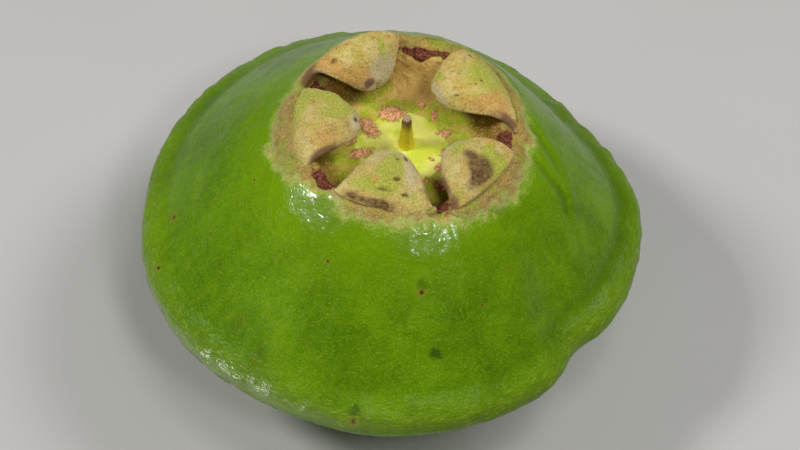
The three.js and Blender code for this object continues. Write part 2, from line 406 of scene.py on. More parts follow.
def body_shares(r, s, climb, turn, plain, uneven):
    """The share of each kind of surface over the body's grid.

    r is the section radius, s the arc length past the collar's crest, climb the arc length above
    the rim, turn the azimuth, and plain the points of the body without relief.
    """
    small, tiny = uneven["small"], uneven["tiny"]
    upper = smooth(climb, -1.5, 0.5)
    lip = bell(climb - 0.8 * uneven["broad"], 1.0, 2.1)
    groove = bell(climb - 0.5 * uneven["broad"], 4.3, 1.5)
    cup = smooth(s, 0.2, 1.0) + 0 * turn
    notch = notch_share(turn) + 0 * s
    bare_depth = 2.4 - 1.0 * sector(turn, 76, 20)
    bare = notch * smooth(s + 0.5 * small, -0.9, 0.0)
    bare = bare * (1 - smooth(s + 0.8 * small, bare_depth - 1.1, bare_depth))
    tan = sum(share * sector(turn, at, half) * smooth(r, low, high)
              for at, half, share, low, high in TAN_WALLS)
    gloss = sum(share * sector(turn, at, half) * bell(r, away, deep)
                for at, half, share, away, deep in GLOSS_PATCHES)
    return {
        "upper": upper,
        "lip": lip,
        "groove": groove * sectors(turn, GROOVE_SECTORS, GROOVE_SHARE),
        "felt": felt_share(s, turn, plain) * (1 - smooth(s, 0.3, 1.2)),
        "cup": cup,
        "notch": notch,
        "bare": bare,
        "disc": (1 - smooth(r + 0.5 * small + 0.3 * tiny, 4.2, 5.4)) * cup,
        "cork": cork_share(r + 0.25 * tiny, turn + 4 * small / np.maximum(r, 1)) * cup,
        "tan": np.clip(tan + 0.8 * smooth(s, 3.6, 1.6), 0, 1) * cup,
        "gloss": gloss + lip * sectors(turn, LIP_GLOSS_SECTORS, LIP_GLOSS),
        # Where the sepals overhang the cup, which is painted with brown shade.
        "cavity_shade": smooth(r + 0.5 * small, 7.2, 8.8) * cup * (1 - sector(turn, 78, 22)),
        "fold": fold_push(r + 0 * turn, turn + 0 * r) * upper,
    }


def make_fruit(material):
    """The whole fruit as one closed skin, with masks for its material."""
    radius, height, inward = section()
    r, z, s = radius[1:-1, None], height[1:-1, None], inward[1:-1, None]
    climb = s - inward[int(np.argmax(radius))]
    turn = np.arange(COLUMNS)[None, :] * 360 / COLUMNS
    plain = body_points(r, z, turn)
    flow = skin_flow(turn, s)
    uneven = unevenness(plain)
    share = body_shares(r, s, climb, turn, plain, uneven)

    # The underside keeps its flat resting ring, so the relief fades out towards the floor.
    outside = smooth(z, 0.0, 1.2) * smooth(-s, 0.0, 3.0)
    streak = STREAK_RELIEF * share["upper"] * noise(flow / STREAK_SIZE, 1.0, 8, 2)
    wrinkle = WRINKLE_RELIEF * noise(flow / WRINKLE_SIZE, 1.0, 6, 2)
    push = outside * (relief("skin", uneven) + streak)
    push = push + share["lip"] * (relief("lip", uneven) + wrinkle)
    push = push - GROOVE_DEPTH * share["groove"] + FOLD_RELIEF * share["fold"]
    push = push + share["felt"] * relief("felt", uneven)
    push = push + share["cup"] * smooth(r, 4.4, 6.0) * relief("cup", uneven)
    push = push + share["bare"] * relief("bare", uneven)
    push = push + smooth(share["cork"], 0.3, 0.7) * (CORK_RISE + relief("cork", uneven))
    grid = plain + grid_normals(plain) * push[..., None]
    dip = share["notch"] * smooth(s, -1.8, 0.2) * (1 - smooth(s, 2.0, 4.0))
    grid[..., 2] += root_swell(r, turn) - NOTCH_DEPTH * dip
    away = np.hypot(grid[..., 0] - STYLE_AXIS[0], grid[..., 1] - STYLE_AXIS[1])
    grid[..., 2] += STYLE_MOUND * bell(away, 0, MOUND_SPREAD) * (r < MOUND_REACH)
    poles = body_points(radius[[0, -1]], height[[0, -1]], np.zeros(2))
    poles[1, 2] += STYLE_MOUND * bell(math.hypot(*STYLE_OFFSET), 0, MOUND_SPREAD)
    points = np.vstack([poles[:1], grid.reshape(-1, 3), poles[1:]])

    def with_poles(values, first, last):
        return np.concatenate([[first], np.broadcast_to(values, grid.shape[:2]).ravel(), [last]])

    for name in ("lip", "groove", "gloss"):
        share[name] = share[name] * share["upper"]
    # The fold mask keeps the low side of each crease, which is painted with shade.
    share["fold"] = smooth(-share["fold"], 0.15, 0.6)
    masks = {name: with_poles(values, 0, name in ("cup", "disc")) for name, values in
             share.items() if name not in ("upper", "notch")}
    masks["inward"] = with_poles(s, *POLE_INWARD)
    low_flow, high_flow = [[[0, 0, value]] for value in POLE_INWARD]
    masks["flow"] = np.vstack([low_flow, flow.reshape(-1, 3), high_flow])
    make_object("cambuci_body", points, ring_faces(len(grid), COLUMNS), masks, material,
                "fruit")


# ---- sepals

SEPAL_CREST_BASE = COLLAR_HEIGHT - 0.3
SEPAL_THICKNESS = 1.0
SEPAL_EDGE = 0.65
SEPAL_OUTLINE_POWER = 0.62
SEPAL_ROWS, SEPAL_COLUMNS, SPINE_STEPS = 110, 96, 600
# A sepal's skirt runs out from its root under the felt of the collar. SKIRT is its share of the
# spine, and the depths are in mm below the plain collar, at its hem and halfway.
SKIRT = 0.5
HEM_DEPTH, HALFWAY_DEPTH = 0.95, 0.25
ROOT_RISE = 0.15
# Dents in mm of the brown and green marks and of the crease at the root.
BROWN_DENT, GREEN_DENT, CREASE_DENT = 0.16, 0.08, 0.3
# Azimuth; radii of root and tip; width to each side; lean of the tip; rise of crest and tip; how
# far the sides curl down and the left one up; taper; skirt length; how orange the felt is; and
# the middle and spread of the crease at the root, which is dented and painted with brown shade.
SEPAL_FIELDS = ("azimuth", "root", "tip", "left", "right", "lean", "rise", "tip_rise", "cupping",
                "lift", "taper", "skirt", "warm", "crease")
SEPALS = [dict(zip(SEPAL_FIELDS, row)) for row in [
    (30, 11.9, 4.9, 5.8, 6.6, 1.7, 2.4, 1.0, 1.0, 0.0, 1.5, 2.1, 1.0, (-0.4, 0.9)),
    (120, 12.3, 6.3, 6.6, 6.0, -0.3, 3.6, 0.8, 1.8, 1.2, 1.6, 2.2, 0.9, (0.2, 0.8)),
    (184, 11.8, 4.7, 4.9, 5.8, -0.9, 1.8, 0.5, 0.8, 0.0, 1.9, 2.5, 0.3, (-1.0, 0.5)),
    (256, 11.4, 3.9, 6.0, 5.4, 0.0, 1.9, 0.7, 0.8, 0.0, 1.4, 1.8, 0.15, (-0.3, 0.5)),
    (320, 12.2, 5.7, 5.0, 5.4, 0.9, 1.5, 0.5, 0.6, 0.0, 2.0, 2.1, 0.1, (0.0, 0.9)),
]]

# Marks on each sepal: (across, share of the way from root to tip, half sizes in mm, strength).
# Across is 1 at the counterclockwise edge and -1 at the clockwise one.
SEPAL_MARKS = [
    dict(green=[(0.3, 0.12, 3.2, 1.1, 1.2), (-0.2, 0.32, 1.6, 1.0, 0.8),
                (0.6, 0.78, 0.9, 0.3, 1.2), (0.0, 0.5, 2.4, 1.6, 0.5)],
         orange=[(-0.8, 0.42, 1.1, 2.4, 1.1), (-0.45, 0.25, 1.2, 0.9, 0.5),
                 (0.9, 0.3, 0.7, 1.6, 0.8)],
         maroon=[(-1.0, 0.18, 0.8, 1.5, 1.2)],
         brown=[(0.55, 0.3, 0.32, 0.16, 1.6), (-0.25, 0.42, 0.16, 0.16, 1.2),
                (-0.3, 0.5, 0.14, 0.14, 1.1), (0.15, 0.6, 0.18, 0.12, 1.1),
                (-0.5, 0.75, 0.1, 0.22, 1.1), (0.1, 0.01, 4.0, 0.3, 0.8)],
         grey=[(0.0, 0.98, 3.4, 0.9, 1.0)]),
    dict(green=[(0.35, 0.2, 2.8, 0.9, 1.2), (-0.2, 0.13, 2.6, 1.0, 1.2),
                (-0.5, 0.6, 0.3, 0.9, 1.6), (0.1, 0.35, 2.0, 1.0, 0.5)],
         orange=[(0.85, 0.5, 1.0, 2.6, 1.1), (0.55, 0.8, 1.4, 0.9, 0.8),
                 (-0.92, 0.45, 0.6, 1.5, 0.9)],
         maroon=[(0.98, 0.2, 0.9, 1.8, 1.3), (0.45, 0.92, 0.55, 0.4, 1.2)],
         brown=[(0.5, 0.05, 2.2, 0.26, 1.3), (0.2, 0.16, 0.8, 0.2, 1.1),
                (0.7, 0.5, 0.4, 0.2, 1.1), (0.0, 0.3, 0.2, 0.15, 0.9)],
         grey=[(-0.1, 0.95, 2.8, 1.3, 1.0), (-0.6, 0.75, 1.8, 1.8, 0.7)]),
    dict(green=[(-0.8, 0.5, 1.0, 3.2, 1.1), (-0.5, 0.1, 1.5, 1.3, 1.2),
                (-0.15, 0.62, 1.1, 1.8, 0.9), (-0.1, 0.02, 2.4, 0.9, 0.8)],
         orange=[(0.6, 0.5, 1.1, 1.6, 0.7), (0.0, 0.3, 1.6, 0.8, 0.45)],
         maroon=[(1.0, 0.4, 0.6, 1.8, 1.3)],
         brown=[(0.0, 0.93, 0.3, 0.3, 1.1), (-0.75, 0.02, 1.6, 0.35, 0.9),
                (0.35, 0.8, 0.9, 0.5, 0.5), (-0.5, 0.35, 0.16, 0.16, 1.0)],
         grey=[(0.2, 0.95, 3.0, 1.1, 1.0), (0.5, 0.2, 1.6, 1.2, 0.5)]),
    dict(green=[(0.1, 0.5, 1.3, 1.7, 1.3), (-0.4, 0.3, 2.0, 0.8, 1.0),
                (0.15, 0.75, 0.6, 1.2, 0.9)],
         orange=[(-0.22, 0.4, 0.35, 0.4, 1.2), (0.4, 0.1, 1.6, 0.9, 0.6)],
         maroon=[(0.15, -0.08, 0.9, 0.5, 1.0), (0.98, 0.3, 0.4, 1.6, 0.8)],
         brown=[(-0.3, 0.1, 1.9, 0.3, 0.9), (0.1, 0.03, 1.3, 0.8, 1.3),
                (0.3, 0.45, 0.3, 0.22, 2.0), (0.5, 0.25, 0.34, 0.16, 1.5),
                (0.6, 0.83, 0.2, 0.32, 1.4), (0.25, 0.78, 0.22, 0.2, 1.1),
                (0.05, 0.28, 0.9, 0.2, 0.9), (-0.6, 0.12, 0.5, 0.4, 0.8)],
         grey=[(0.0, 0.97, 3.0, 0.8, 1.0), (0.65, 0.55, 1.2, 2.2, 0.8),
               (-0.5, 0.7, 1.4, 1.4, 0.5)]),
    dict(green=[(0.05, 0.82, 1.2, 0.9, 0.9), (0.35, 0.2, 1.1, 0.9, 1.8),
                (0.62, 0.45, 1.7, 0.5, 1.1), (-0.3, 0.08, 1.2, 0.5, 0.7)],
         orange=[(0.85, 0.5, 0.8, 2.0, 0.7), (-0.4, 0.7, 1.2, 1.0, 0.4)],
         maroon=[(-0.97, 0.5, 0.4, 1.4, 1.0), (-0.95, 0.12, 0.7, 0.9, 1.0)],
         brown=[(0.0, 0.36, 1.0, 1.2, 1.7), (-0.25, 0.24, 1.2, 0.6, 1.3),
                (0.1, 0.62, 0.5, 0.6, 1.1), (0.1, 0.02, 3.4, 0.3, 0.7),
                (-0.1, 0.3, 0.5, 0.5, 0.9)],
         grey=[(-0.3, 0.95, 2.4, 0.9, 0.9), (0.1, 0.6, 0.7, 1.0, 0.4)]),
]


def collar_height(radius):
    """Height of the plain body just outside the collar."""
    outer = np.array(COLLAR[::-1])
    return float(np.interp(radius, outer[:, 0], outer[:, 1]))


def sepal_spine(sepal):
    """The middle line from the hem of the skirt, over the root, to the tip."""
    root = sepal["root"]
    reach = root - sepal["tip"]
    crest = SEPAL_CREST_BASE + sepal["rise"]
    tip_height = SEPAL_CREST_BASE + sepal["tip_rise"]
    skirt = sepal["skirt"]
    foot = collar_height(root) + ROOT_RISE
    return smooth_run([
        (root + skirt, collar_height(root + skirt) - HEM_DEPTH),
        (root + 0.5 * skirt, collar_height(root + 0.5 * skirt) - HALFWAY_DEPTH),
        (root, foot),
        (root - 0.09 * reach, 0.5 * (foot + crest)),
        (root - 0.33 * reach, crest),
        (root - 0.7 * reach, 0.8 * crest + 0.2 * tip_height),
        (sepal["tip"], tip_height),
    ], SPINE_STEPS)


def sepal_middle(sepal, across, along):
    """The middle surface of a sepal: across from -1 to 1, along from -SKIRT to the tip at 1."""
    spine = sepal_spine(sepal)
    at = np.linspace(-SKIRT, 1, len(spine))
    middle_r = np.interp(along, at, spine[:, 0])
    middle_z = np.interp(along, at, spine[:, 1])
    inner = np.maximum(along, 0)
    side = np.where(across > 0, sepal["left"], sepal["right"])
    width = side * (1 - inner ** sepal["taper"]) ** SEPAL_OUTLINE_POWER
    sagitta = sepal["root"] - np.sqrt(sepal["root"] ** 2 - (side * across) ** 2)
    radial = middle_r - sagitta * (1 - inner) ** 1.2
    tangential = width * across + sepal["lean"] * inner
    hump = 4 * inner * (1 - inner)
    lift = np.where(across > 0, sepal["lift"], 0) * hump
    drop = sepal["cupping"] * (hump + 0.5 * inner)
    turn = math.radians(sepal["azimuth"])
    x = CUP_AXIS[0] + radial * math.cos(turn) - tangential * math.sin(turn)
    y = CUP_AXIS[1] + radial * math.sin(turn) + tangential * math.cos(turn)
    return np.stack([x, y, middle_z + across ** 2 * (lift - drop)], -1), width


def mark_share(marks, width, across, way, length):
    """Painted share of one kind of mark over the sepal's grid."""
    share = 0 * way
    for at, inward, half_across, half_along, strength in marks:
        u = (across - at) * width / half_across
        v = (way - inward * length) / half_along
        share = share + strength * oval(u, v)
    return share


def skirt_masks(points):
    """The body's felt, inward and flow masks at points of a sepal's outer face."""
    x, y = points[..., 0] - CUP_AXIS[0], points[..., 1] - CUP_AXIS[1]
    radius, _, inward = upper_section()
    inward_here = np.interp(np.hypot(x, y), radius, inward)
    azimuth = np.degrees(np.arctan2(y, x))
    return felt_share(inward_here, azimuth, points), inward_here, skin_flow(azimuth, inward_here)


def sheet_faces(rows, columns):
    """Faces of a sheet with two skins of (rows + 1) x (columns + 1) points, closed at its hem."""
    grid = np.arange((rows + 1) * (columns + 1)).reshape(rows + 1, columns + 1)
    layer = grid.size
    hem = [(k + 1, k, k + layer, k + 1 + layer) for k in range(columns)]
    return quads(grid) + quads(grid.T + layer) + hem


def make_sepal(number, sepal, marks, material):
    """A folded sepal: a thin felted sheet that runs out under the felt of the collar."""
    across = np.sin(np.linspace(-math.pi / 2, math.pi / 2, SEPAL_COLUMNS + 1))[None, :]
    # Rows crowd towards the tip, where the outline turns fast.
    run = np.linspace(0, 1, SEPAL_ROWS + 1)[:, None]
    along = (1 + SKIRT) * (1 - (1 - run) ** 1.4) - SKIRT
    middle, width = sepal_middle(sepal, across, along)
    way = arc_lengths(middle[:, SEPAL_COLUMNS // 2])
    way = way - np.interp(0, along[:, 0], way)
    length = way[-1]
    way = way[:, None] + 0 * across
    normal = unit(np.cross(np.gradient(middle, axis=1), np.gradient(middle, axis=0)))
    normal *= np.where(normal[..., 2:].mean() < 0, -1, 1)
    from_edge = np.minimum(width * (1 - np.abs(across)), length - way)
    inset = 1 - np.clip(from_edge / SEPAL_EDGE, 0, 1)
    half = 0.5 * SEPAL_THICKNESS * np.sqrt(1 - inset ** 2)
    big, medium, small = [noise(middle, cell, 40 * number + k, 2)
                          for k, cell in enumerate((4.5, 1.6, 0.45))]
    painted = {kind: mark_share(spots, width + 0.3 * medium, across, way, length)
               for kind, spots in marks.items()}
    # The crease at the root is dented and painted with brown shade.
    centre, spread = sepal["crease"]
    crease = np.exp(-((across - centre) / spread) ** 4) * (0.75 + 0.5 * medium)
    crease = crease * bell(way - 0.3 * big, 0.15, 0.28)

    wave = smooth(way, -0.5, 1.5) * (0.26 * big + 0.14 * medium)
    dent = BROWN_DENT * np.clip(painted["brown"], 0, 1) + CREASE_DENT * crease
    dent = dent + GREEN_DENT * np.clip(painted["green"], 0, 1)
    fuzz = 0.05 * (small + medium) * np.minimum(half / 0.3, 1)
    top = middle + normal * (wave + half + fuzz - dent * np.minimum(half / 0.4, 1))[..., None]
    under = middle + normal * (wave - half)[..., None]

    painted.update(crease=crease, rim=inset, way=way, warm=sepal["warm"] + 0 * way)
    painted["felt"], painted["inward"], flow = skirt_masks(top)
    masks = {kind: np.tile(share.ravel(), 2) for kind, share in painted.items()}
    masks["flow"] = np.tile(flow.reshape(-1, 3), (2, 1))
    masks["inner"] = np.repeat([0.0, 1.0], way.size)
    points = np.vstack([top.reshape(-1, 3), under.reshape(-1, 3)])
    piece = make_object(f"sepal_{number}", points, sheet_faces(SEPAL_ROWS, SEPAL_COLUMNS), masks,
                        material, f"calyx_lobe_{number}")
    weld(piece)


def weld(piece):
    """Joins points that share a place, so that the two skins of a sepal close on their edge."""
    shape = bmesh.new()
    shape.from_mesh(piece.data)
    bmesh.ops.remove_doubles(shape, verts=shape.verts, dist=0.003 * MM)
    bmesh.ops.recalc_face_normals(shape, faces=shape.faces)
    shape.to_mesh(piece.data)
    shape.free()


# ---- style and stalk

# The outlines of the two stubs, as (radius, height) rings.
STYLE_RINGS = [
    (0, DISC_HEIGHT - 0.2), (1.0, DISC_HEIGHT - 0.15), (0.84, DISC_HEIGHT + 0.6),
    (0.74, DISC_HEIGHT + 1.7), (0.6, DISC_HEIGHT + 3.1), (0.52, STYLE_TOP - 0.5),
    (0.4, STYLE_TOP), (0, STYLE_TOP - 0.05),
]
STYLE_BEND = (0.1, 0.1)
STALK_RINGS = [
    (0, STALK_LOW), (0.95, STALK_LOW), (1.15, STALK_LOW + 0.4), (1.05, STALK_LOW + 1.2),
    (1.1, STALK_HIGH + 0.3), (0.6, STALK_HIGH + 0.6), (0, STALK_HIGH + 0.6),
]
COLUMN_SIDES, COLUMN_ROWS = 72, 60


def make_column(name, rings, axis, bend, seed, material, node):
    """A closed round column from (radius, height) rings, its axis leaning off by bend mm."""
    profile = smooth_run(rings, COLUMN_ROWS)[1:-1]
    turn = np.arange(COLUMN_SIDES)[None, :] * 360 / COLUMN_SIDES
    r, z = profile[:, :1], profile[:, 1:]
    rise = (z - z.min()) / (z.max() - z.min())
    plain = np.stack([*flat(r, turn), z + 0 * turn], -1)
    ridges = noise(plain * [1, 1, 0.25], 0.5, seed, 2)
    grain = noise(plain, 0.25, seed + 9, 2)
    x, y = flat(r * (1 + 0.13 * ridges + 0.06 * grain), turn)
    grid = np.stack([axis[0] + x + bend[0] * rise ** 2, axis[1] + y + bend[1] * rise ** 2,
                     z + 0.05 * grain], -1)
    low = [*axis, rings[0][1]]
    high = [axis[0] + bend[0], axis[1] + bend[1], rings[-1][1]]
    points = np.vstack([[low], grid.reshape(-1, 3), [high]])
    height = np.concatenate([[0], (rise + 0 * turn).ravel(), [1]])
    make_object(name, points, ring_faces(len(profile), COLUMN_SIDES), {"height": height},
                material, node)


# ---- material nodes

# The material that is being made.
making = {}


def add(kind, inputs=None, **settings):
    """A node with its settings, and with each input set to a value or linked to a socket."""
    tree = making["material"].node_tree
    node = tree.nodes.new("ShaderNode" + kind)
    for key, value in settings.items():
        setattr(node, key, value)
    for key, value in (inputs or {}).items():
        socket = node.inputs[key]
        if isinstance(value, bpy.types.NodeSocket):
            tree.links.new(value, socket)
        else:
            socket.default_value = (*value, 1.0) if socket.type == "RGBA" else value
    return node


def new_material(name):
    """Starts an empty material, which the functions below add to."""
    material = bpy.data.materials.new(name)
    material.use_nodes = True
    material.node_tree.nodes.clear()
    making["material"] = material


def place():
    """Object coordinates, in metres."""
    return add("TexCoord").outputs["Object"]


def masks_of(*names):
    """Sockets of the mesh's masks with these names."""
    return [add("Attribute", attribute_name=name).outputs["Fac"] for name in names]


def lumps(size_mm, detail=2.0, roughness=0.5, distortion=0.0):
    """Noise from 0 to 1 whose lumps are about size_mm across."""
    inputs = {"Scale": 1 / (size_mm * MM), "Detail": detail, "Roughness": roughness,
              "Distortion": distortion, "Vector": place()}
    return add("TexNoise", inputs).outputs["Fac"]


def cells(size_mm):
    """Distance to the nearest cell point, for cells about size_mm across."""
    inputs = {"Scale": 1 / (size_mm * MM), "Vector": place()}
    return add("TexVoronoi", inputs).outputs["Distance"]


def ramp(value, low, high, to_low=0.0, to_high=1.0):
    """Maps low..high smoothly to to_low..to_high, clamped."""
    inputs = {"Value": value, "From Min": low, "From Max": high, "To Min": to_low,
              "To Max": to_high}
    return add("MapRange", inputs, interpolation_type="SMOOTHSTEP").outputs["Result"]


def math_node(operation, a, b=0.0, c=0.0):
    return add("Math", {0: a, 1: b, 2: c}, operation=operation).outputs[0]


def times(*values):
    """The product of sockets and numbers."""
    product = values[0]
    for value in values[1:]:
        product = math_node("MULTIPLY", product, value)
    return product


def mix(share, a, b):
    """Mixes colour a towards colour b."""
    return add("Mix", {0: share, 6: a, 7: b}, data_type="RGBA").outputs[2]


def tint(base, over, value, low, high, share=1.0):
    """Base under another colour, whose share grows as the value goes from low to high."""
    return mix(ramp(value, low, high, 0.0, share), base, over)


def clouded(base, clouds):
    """Base under soft clouds, as (colour, size in mm, low, high, share)."""
    for over, size, low, high, share in clouds:
        base = tint(base, over, lumps(size, 3.0), low, high, share)
    return base


def frayed(share, amount, *noise_settings):
    """A share whose edge is broken up by noise."""
    return math_node("MULTIPLY_ADD", lumps(*noise_settings), amount, share)


def hair_tips():
    """Noise of the felt's hair tips."""
    return lumps(0.2, 3.0, 0.75)


def skin_grains():
    """Noise of the fine grains of skin and cup."""
    return lumps(0.2, 3.0, 0.7)


def spot(centre_mm, radius_mm):
    """1 inside a small ragged spot on the surface and 0 outside."""
    centre = tuple(float(v) * MM for v in centre_mm)
    away = add("VectorMath", {0: place(), 1: centre}, operation="DISTANCE").outputs["Value"]
    edge = frayed(away, 0.9 * radius_mm * MM, 0.8 * radius_mm)
    return ramp(edge, 1.35 * radius_mm * MM, 0.75 * radius_mm * MM)


def bump(height, depth_mm, normal=None, strength=1.0):
    inputs = {"Height": height, "Distance": depth_mm * MM, "Strength": strength}
    if normal is not None:
        inputs["Normal"] = normal
    return add("Bump", inputs).outputs["Normal"]


def finish_material(inputs):
    """Adds the one shader and the output, and gives back the finished material."""
    shader = add("BsdfPrincipled", inputs)
    add("OutputMaterial", {"Surface": shader.outputs["BSDF"]})
    return making["material"]


# ---- colours (linear)

DEEP_GREEN = (0.084, 0.190, 0.001)
LEAF_GREEN = (0.130, 0.272, 0.001)
YELLOW_GREEN = (0.180, 0.325, 0.002)
PALE_HAIR = (0.34, 0.48, 0.05)
LIP_GREEN = (0.15, 0.24, 0.006)
SHADE_GREEN = (0.05, 0.105, 0.001)
BRUISE_GREEN = (0.022, 0.062, 0.004)
SPECK_BROWN = (0.07, 0.018, 0.004)
SPECK_TAN = (0.30, 0.20, 0.03)
FELT_TAN = (0.60, 0.44, 0.09)
FELT_PALE = (0.82, 0.70, 0.32)
FELT_PINK = (0.53, 0.38, 0.105)
COLLAR_TAN = (0.36, 0.25, 0.06)
COLLAR_GREEN = (0.27, 0.36, 0.02)
# Painted shade for the cup floor under the sepals.
CAVITY_SHADE = (0.20, 0.085, 0.005)
FELT_HAZE = (0.30, 0.40, 0.05)
FELT_ORANGE = (0.58, 0.30, 0.065)
FELT_GREEN = (0.37, 0.42, 0.025)
FELT_GREY = (0.56, 0.46, 0.26)
FELT_BROWN = (0.13, 0.058, 0.018)
BLOTCH_DARK = (0.075, 0.030, 0.014)
FELT_MAROON = (0.15, 0.045, 0.028)
INNER_OLIVE = (0.27, 0.125, 0.006)
MAROON = (0.19, 0.055, 0.028)
MAROON_DARK = (0.08, 0.020, 0.014)
DISC_YELLOW = (0.79, 0.78, 0.17)
DISC_LIME = (0.61, 0.67, 0.055)
CUP_GREEN = (0.38, 0.47, 0.010)
CUP_OLIVE = (0.55, 0.46, 0.06)
CUP_TAN = (0.72, 0.46, 0.12)
CORK_PINK = (0.82, 0.45, 0.22)
CORK_RED = (0.52, 0.20, 0.075)
CORK_EDGE = (0.26, 0.11, 0.035)
STYLE_OLIVE = (0.74, 0.63, 0.012)
STYLE_BROWN = (0.17, 0.09, 0.025)
STYLE_TIP = (0.40, 0.26, 0.15)
STALK_BROWN = (0.16, 0.10, 0.045)
STALK_PALE = (0.34, 0.25, 0.13)
FLOOR_PALE = (0.49, 0.48, 0.465)
FLOOR_LIGHT = (0.53, 0.52, 0.505)
SHEEN_CREAM = (0.95, 0.9, 0.7)
WORLD_WHITE = (1.0, 0.99, 0.97)

COLLAR_CLOUDS = [
    (COLLAR_GREEN, 2.4, 0.46, 0.62, 0.8), (FELT_ORANGE, 1.4, 0.5, 0.72, 0.5),
    (FELT_BROWN, 0.9, 0.5, 0.74, 0.6),
]
SEPAL_CLOUDS = [
    (FELT_PALE, 1.7, 0.44, 0.66, 0.4), (FELT_GREEN, 2.6, 0.5, 0.68, 0.4),
    (FELT_ORANGE, 1.2, 0.54, 0.74, 0.4), (FELT_BROWN, 0.7, 0.52, 0.72, 0.45),
]

# Small blemishes on the cone, as azimuth in degrees, section radius and size in mm.
SPECKS = [
    (277, 18.0, 0.5), (242, 16.8, 0.3), (159, 16.9, 0.28), (194, 15.4, 0.22), (195, 16.5, 0.26),
    (308, 18.3, 0.2), (296, 19.9, 0.2), (296, 14.3, 0.22), (226, 23.7, 0.22), (235, 25.8, 0.24),
    (187, 24.4, 0.5), (198, 26.7, 0.45), (262, 27.7, 0.7), (20, 19.0, 0.3), (75, 21.0, 0.3),
    (110, 20.0, 0.25), (130, 23.0, 0.4), (-26, 13.6, 0.3), (-62, 14.0, 0.3), (-136, 13.0, 0.3),
]
# Bruises have a share of their colour as well.
BRUISES = [(281, 22.5, 1.1, 0.8), (277, 17.4, 1.0, 0.4), (262, 27.0, 1.0, 0.6),
           (60, 20.0, 1.4, 0.3)]


def on_cone(azimuth, section_radius):
    """The point of the body's upper side at an azimuth and a section radius."""
    radius, height, _ = upper_section()
    z = np.interp(section_radius, radius, height)
    return body_points(np.array(section_radius), np.array(z), np.array(azimuth))


def strands(around_mm, down_mm, detail=2.0):
    """Noise from 0 to 1 whose lumps have these sizes round and up the skin."""
    flow = add("Attribute", attribute_name="flow").outputs["Vector"]
    scale = (1 / around_mm, 1 / around_mm, 1 / down_mm)
    squeezed = add("VectorMath", {0: flow, 1: scale}, operation="MULTIPLY").outputs["Vector"]
    return add("TexNoise", {"Scale": 1.0, "Detail": detail, "Vector": squeezed}).outputs["Fac"]


def green_skin(lip, groove, inward, fold):
    """Colour of the bare skin: soft clouds, radial streaks, pale grains and small blemishes, with
    painted shade in the groove and the folds and painted light towards the collar.
    """
    green = tint(DEEP_GREEN, LEAF_GREEN, lumps(8.0, 3.0), 0.3, 0.7)
    # Each noise with its bands of colour, as (colour, low, high, share).
    layers = [
        (strands(1.3, 9.0, 3.0),
         [(SHADE_GREEN, 0.5, 0.75, 0.16), (YELLOW_GREEN, 0.46, 0.26, 0.16)]),
        (lumps(3.2, 3.0, 0.6, 0.4),
         [(YELLOW_GREEN, 0.48, 0.7, 0.35), (SHADE_GREEN, 0.46, 0.28, 0.3)]),
        (lumps(0.6, 4.0, 0.65), [(YELLOW_GREEN, 0.5, 0.72, 0.35), (SHADE_GREEN, 0.46, 0.3, 0.25)]),
        (skin_grains(), [(PALE_HAIR, 0.52, 0.7, 0.33), (SHADE_GREEN, 0.48, 0.34, 0.35)]),
    ]
    for value, bands in layers:
        for over, low, high, share in bands:
            green = tint(green, over, value, low, high, share)
    hairs = times(ramp(strands(0.14, 0.9), 0.66, 0.76),
                  ramp(lumps(2.2), 0.5, 0.66))
    green = mix(times(hairs, 0.5), green, PALE_HAIR)
    # The rim is yellower, with pale grains in strokes along it.
    green = mix(times(lip, 0.5), green, LIP_GREEN)
    strokes = ramp(strands(0.9, 0.16, 3.0), 0.54, 0.7)
    patchy = ramp(lumps(2.6), 0.36, 0.6, 0.25, 1.0)
    green = mix(times(lip, strokes, patchy, 0.75), green, PALE_HAIR)
    # Painted shade: the groove above the rim and the low side of each fold are darkened.
    green = mix(times(groove, 0.5), green, SHADE_GREEN)
    green = mix(times(fold, 0.6), green, SHADE_GREEN)
    # Painted light: the skin turns lighter and yellower towards the collar, where it faces the
    # lamps.
    green = tint(green, YELLOW_GREEN, inward, -12.0, -3.0, 0.5)
    for azimuth, radius, size, share in BRUISES:
        bruise = spot(on_cone(azimuth, radius), size)
        green = mix(times(bruise, share), green, BRUISE_GREEN)
    for azimuth, radius, size in SPECKS:
        centre = on_cone(azimuth, radius)
        green = mix(times(spot(centre, 1.7 * size), 0.4), green, SPECK_TAN)
        green = mix(spot(centre, 0.75 * size), green, SPECK_BROWN)
    return green


def felt_grain(felt, pale, dark):
    """Fine pale hair tips and dark gaps over a felt colour."""
    hairs = hair_tips()
    felt = tint(felt, FELT_PALE, hairs, 0.5, 0.64, pale)
    return tint(felt, FELT_BROWN, hairs, 0.47, 0.34, dark)


def collar_felt():
    """Colour of the thick felt round the calyx."""
    return felt_grain(clouded(COLLAR_TAN, COLLAR_CLOUDS), 0.3, 0.4)


def felted(green, felt):
    """Skin colour under felt of the given thickness: bare, hazed by loose hairs, or covered."""
    hairs = hair_tips()
    loose = math_node("MULTIPLY_ADD", hairs, 1.3, felt)
    clumps = math_node("MULTIPLY_ADD", hairs, 0.7, frayed(felt, 0.7, 0.7, 4.0, 0.7))
    skin = tint(green, FELT_HAZE, loose, 0.75, 1.1, 0.75)
    skin = tint(skin, FELT_PALE, loose, 1.05, 1.35, 0.4)
    return tint(skin, collar_felt(), clumps, 1.15, 1.6)


